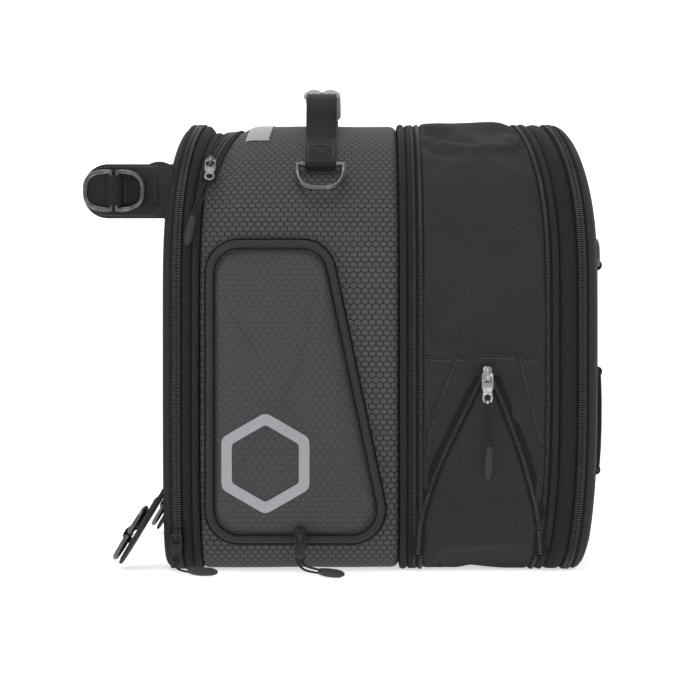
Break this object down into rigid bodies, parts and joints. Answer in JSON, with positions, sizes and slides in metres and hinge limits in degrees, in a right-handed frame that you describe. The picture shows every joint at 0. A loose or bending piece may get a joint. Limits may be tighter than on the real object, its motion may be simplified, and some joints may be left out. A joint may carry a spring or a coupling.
{
  "type": "motorcycle tail bag",
  "caption": "Expandable soft tail bag lying on its front face, with zipped base and lid, side pockets, strap tabs with D-rings and a carry handle.",
  "frame": {"origin": "on the front face, which rests on the floor, midway between the sides, 171 mm from the seat panel", "axes": "+X the bag's own up, from the seat panel to the lid; +Z the bag's rear, upward as it lies; +Y towards the far side"},
  "size_m": [0.4206, 0.451, 0.395],
  "materials": {
    "hex_cloth": "matte",
    "plain_cloth": "matte",
    "pocket_cloth": "matte",
    "edge_cord": "matte",
    "strap": "matte",
    "rubber": "matte",
    "board": "matte",
    "gunmetal": "satin"
  },
  "bodies": {
    "main_body": {"body_shell": "hex_cloth", "body_lining": "plain_cloth", "floor_board": "board", "base_collar": "plain_cloth", "lower_piping": "edge_cord", "upper_piping": "edge_cord", "body_band": "plain_cloth", "body_zip_half": "edge_cord", "gusset": "plain_cloth", "side_pocket_near": "pocket_cloth", "side_pocket_far": "pocket_cloth", "pocket_welt_near": "edge_cord", "pocket_welt_far": "edge_cord", "rear_zip": "edge_cord", "handle_webbing": "strap", "handle_grip": "rubber"},
    "base": {"base_panel": "rubber", "base_piping": "edge_cord", "base_zip": "edge_cord", "tab_near_rear": "strap", "tab_far_rear": "strap", "tab_near_front": "strap", "tab_far_front": "strap"},
    "lid_frame": {"lid_zip_half": "edge_cord", "collar_piping": "edge_cord", "lid_collar": "plain_cloth"},
    "v_tail": {"v_zip": "edge_cord"},
    "lid": {"lid_zip": "edge_cord", "lid_shell": "plain_cloth", "lid_board": "board", "lid_strap_near": "strap", "lid_strap_far": "strap", "lid_cord": "edge_cord"},
    "handle_ring_near": {"handle_ring_near": "gunmetal"},
    "lid_ring_near": {"lid_ring_near": "gunmetal"},
    "handle_ring_far": {"handle_ring_far": "gunmetal"},
    "lid_ring_far": {"lid_ring_far": "gunmetal"},
    "ring_near_rear_outer": {"ring_near_rear_outer": "gunmetal"},
    "ring_near_rear_inner": {"ring_near_rear_inner": "gunmetal"},
    "ring_far_rear_outer": {"ring_far_rear_outer": "gunmetal"},
    "ring_far_rear_inner": {"ring_far_rear_inner": "gunmetal"},
    "ring_near_front_outer": {"ring_near_front_outer": "gunmetal"},
    "ring_near_front_inner": {"ring_near_front_inner": "gunmetal"},
    "ring_far_front_outer": {"ring_far_front_outer": "gunmetal"},
    "ring_far_front_inner": {"ring_far_front_inner": "gunmetal"},
    "expansion_slider": {"expansion_slider": "gunmetal"},
    "expansion_pull": {"expansion_pull": "rubber"},
    "rear_slider": {"rear_slider": "gunmetal"},
    "rear_pull": {"rear_pull": "rubber"},
    "pocket_near_slider": {"pocket_near_slider": "gunmetal"},
    "pocket_near_pull": {"pocket_near_pull": "rubber"},
    "base_near_slider": {"base_near_slider": "gunmetal"},
    "base_near_pull": {"base_near_pull": "rubber"},
    "pocket_far_slider": {"pocket_far_slider": "gunmetal"},
    "pocket_far_pull": {"pocket_far_pull": "rubber"},
    "base_far_slider": {"base_far_slider": "gunmetal"},
    "base_far_pull": {"base_far_pull": "rubber"},
    "lid_slider": {"lid_slider": "gunmetal"},
    "lid_pull": {"lid_pull": "rubber"}
  },
  "joints": [
    {"name": "base_hinge", "type": "hinge", "parent": "main_body", "child": "base", "pos_m": [-0.157, 0, 0], "axis": [0, -1, 0], "range_deg": [0, 80]},
    {"name": "lid_frame_slide", "type": "slide", "parent": "main_body", "child": "lid_frame", "axis": [1, 0, 0], "range_m": [-0.074, 0], "deforming": ["gusset", "v_zip"]},
    {"name": "v_tail_slide", "type": "slide", "parent": "main_body", "child": "v_tail", "axis": [1, 0, 0], "range_m": [-0.037, 0]},
    {"name": "lid_hinge", "type": "hinge", "parent": "lid_frame", "child": "lid", "pos_m": [0.1465, 0, 0], "axis": [0, 1, 0], "range_deg": [0, 80]},
    {"name": "handle_ring_near_hinge", "type": "hinge", "parent": "main_body", "child": "handle_ring_near", "pos_m": [-0.0468, -0.14681, 0.3205], "axis": [-1, 0, 0], "range_deg": [0, 110]},
    {"name": "lid_ring_near_hinge", "type": "hinge", "parent": "lid", "child": "lid_ring_near", "pos_m": [0.17826, -0.095, 0.2422], "axis": [0, 1, 0], "range_deg": [0, 110]},
    {"name": "handle_ring_far_hinge", "type": "hinge", "parent": "main_body", "child": "handle_ring_far", "pos_m": [-0.0468, 0.14681, 0.3205], "axis": [1, 0, 0], "range_deg": [0, 110]},
    {"name": "lid_ring_far_hinge", "type": "hinge", "parent": "lid", "child": "lid_ring_far", "pos_m": [0.17826, 0.095, 0.2422], "axis": [0, 1, 0], "range_deg": [0, 110]},
    {"name": "ring_near_rear_outer_hinge", "type": "hinge", "parent": "base", "child": "ring_near_rear_outer", "pos_m": [-0.2124, -0.1538, 0.299], "axis": [0, 0, 1], "range_deg": [0, 85]},
    {"name": "ring_near_rear_inner_hinge", "type": "hinge", "parent": "base", "child": "ring_near_rear_inner", "pos_m": [-0.2078, -0.1538, 0.299], "axis": [0, 0, -1], "range_deg": [0, 85]},
    {"name": "ring_far_rear_outer_hinge", "type": "hinge", "parent": "base", "child": "ring_far_rear_outer", "pos_m": [-0.20301, 0.1538, 0.32852], "axis": [-0.65, 0, -0.76], "range_deg": [0, 85]},
    {"name": "ring_far_rear_inner_hinge", "type": "hinge", "parent": "base", "child": "ring_far_rear_inner", "pos_m": [-0.19951, 0.1538, 0.32553], "axis": [0.65, 0, 0.76], "range_deg": [0, 85]},
    {"name": "ring_near_front_outer_hinge", "type": "hinge", "parent": "base", "child": "ring_near_front_outer", "pos_m": [-0.19877, -0.148, 0.02617], "axis": [0, 1, 0], "range_deg": [0, 85]},
    {"name": "ring_near_front_inner_hinge", "type": "hinge", "parent": "base", "child": "ring_near_front_inner", "pos_m": [-0.19638, -0.148, 0.0301], "axis": [0, -1, 0], "range_deg": [0, 85]},
    {"name": "ring_far_front_outer_hinge", "type": "hinge", "parent": "base", "child": "ring_far_front_outer", "pos_m": [-0.19877, 0.148, 0.02617], "axis": [0, 1, 0], "range_deg": [0, 85]},
    {"name": "ring_far_front_inner_hinge", "type": "hinge", "parent": "base", "child": "ring_far_front_inner", "pos_m": [-0.19638, 0.148, 0.0301], "axis": [0, -1, 0], "range_deg": [0, 85]},
    {"name": "expansion_slider_slide", "type": "slide", "parent": "v_tail", "child": "expansion_slider", "axis": [0, 0, -1], "range_m": [0, 0.07]},
    {"name": "expansion_pull_hinge", "type": "hinge", "parent": "expansion_slider", "child": "expansion_pull", "pos_m": [0.0835, -0.181, 0.154], "axis": [-1, 0, 0], "range_deg": [0, 100]},
    {"name": "rear_slider_slide", "type": "hinge", "parent": "main_body", "child": "rear_slider", "pos_m": [-0.119, -0.045, 0.232], "axis": [-0.9889, 0.1487, 0], "range_deg": [0, 48]},
    {"name": "rear_pull_hinge", "type": "hinge", "parent": "rear_slider", "child": "rear_pull", "pos_m": [-0.13423, -0.14629, 0.3232], "axis": [-1, 0, 0], "range_deg": [0, 100]},
    {"name": "pocket_near_slider_slide", "type": "slide", "parent": "main_body", "child": "pocket_near_slider", "axis": [1, 0, 0], "range_m": [-0.045, 0.035]},
    {"name": "pocket_near_pull_hinge", "type": "hinge", "parent": "pocket_near_slider", "child": "pocket_near_pull", "pos_m": [-0.062, -0.1878, 0.03], "axis": [-1, 0, 0], "range_deg": [0, 100]},
    {"name": "base_near_slider_slide", "type": "slide", "parent": "base", "child": "base_near_slider", "axis": [0, 0, 1], "range_m": [0, 0.15]},
    {"name": "base_near_pull_hinge", "type": "hinge", "parent": "base_near_slider", "child": "base_near_pull", "pos_m": [-0.1585, -0.1795, 0.029], "axis": [-1, 0, 0], "range_deg": [0, 100]},
    {"name": "pocket_far_slider_slide", "type": "slide", "parent": "main_body", "child": "pocket_far_slider", "axis": [1, 0, 0], "range_m": [-0.045, 0.035]},
    {"name": "pocket_far_pull_hinge", "type": "hinge", "parent": "pocket_far_slider", "child": "pocket_far_pull", "pos_m": [-0.062, 0.1878, 0.03], "axis": [1, 0, 0], "range_deg": [0, 100]},
    {"name": "base_far_slider_slide", "type": "slide", "parent": "base", "child": "base_far_slider", "axis": [0, 0, 1], "range_m": [0, 0.15]},
    {"name": "base_far_pull_hinge", "type": "hinge", "parent": "base_far_slider", "child": "base_far_pull", "pos_m": [-0.1585, 0.1795, 0.029], "axis": [1, 0, 0], "range_deg": [0, 100]},
    {"name": "lid_slider_slide", "type": "slide", "parent": "lid", "child": "lid_slider", "axis": [0, 0, 1], "range_m": [-0.035, 0.1]},
    {"name": "lid_pull_hinge", "type": "hinge", "parent": "lid_slider", "child": "lid_pull", "pos_m": [0.1585, 0.1795, 0.12], "axis": [1, 0, 0], "range_deg": [0, 100]}
  ],
  "couplings": [
    {"joint": "v_tail_slide", "follows": "lid_frame_slide", "ratio": 0.5}
  ]
}
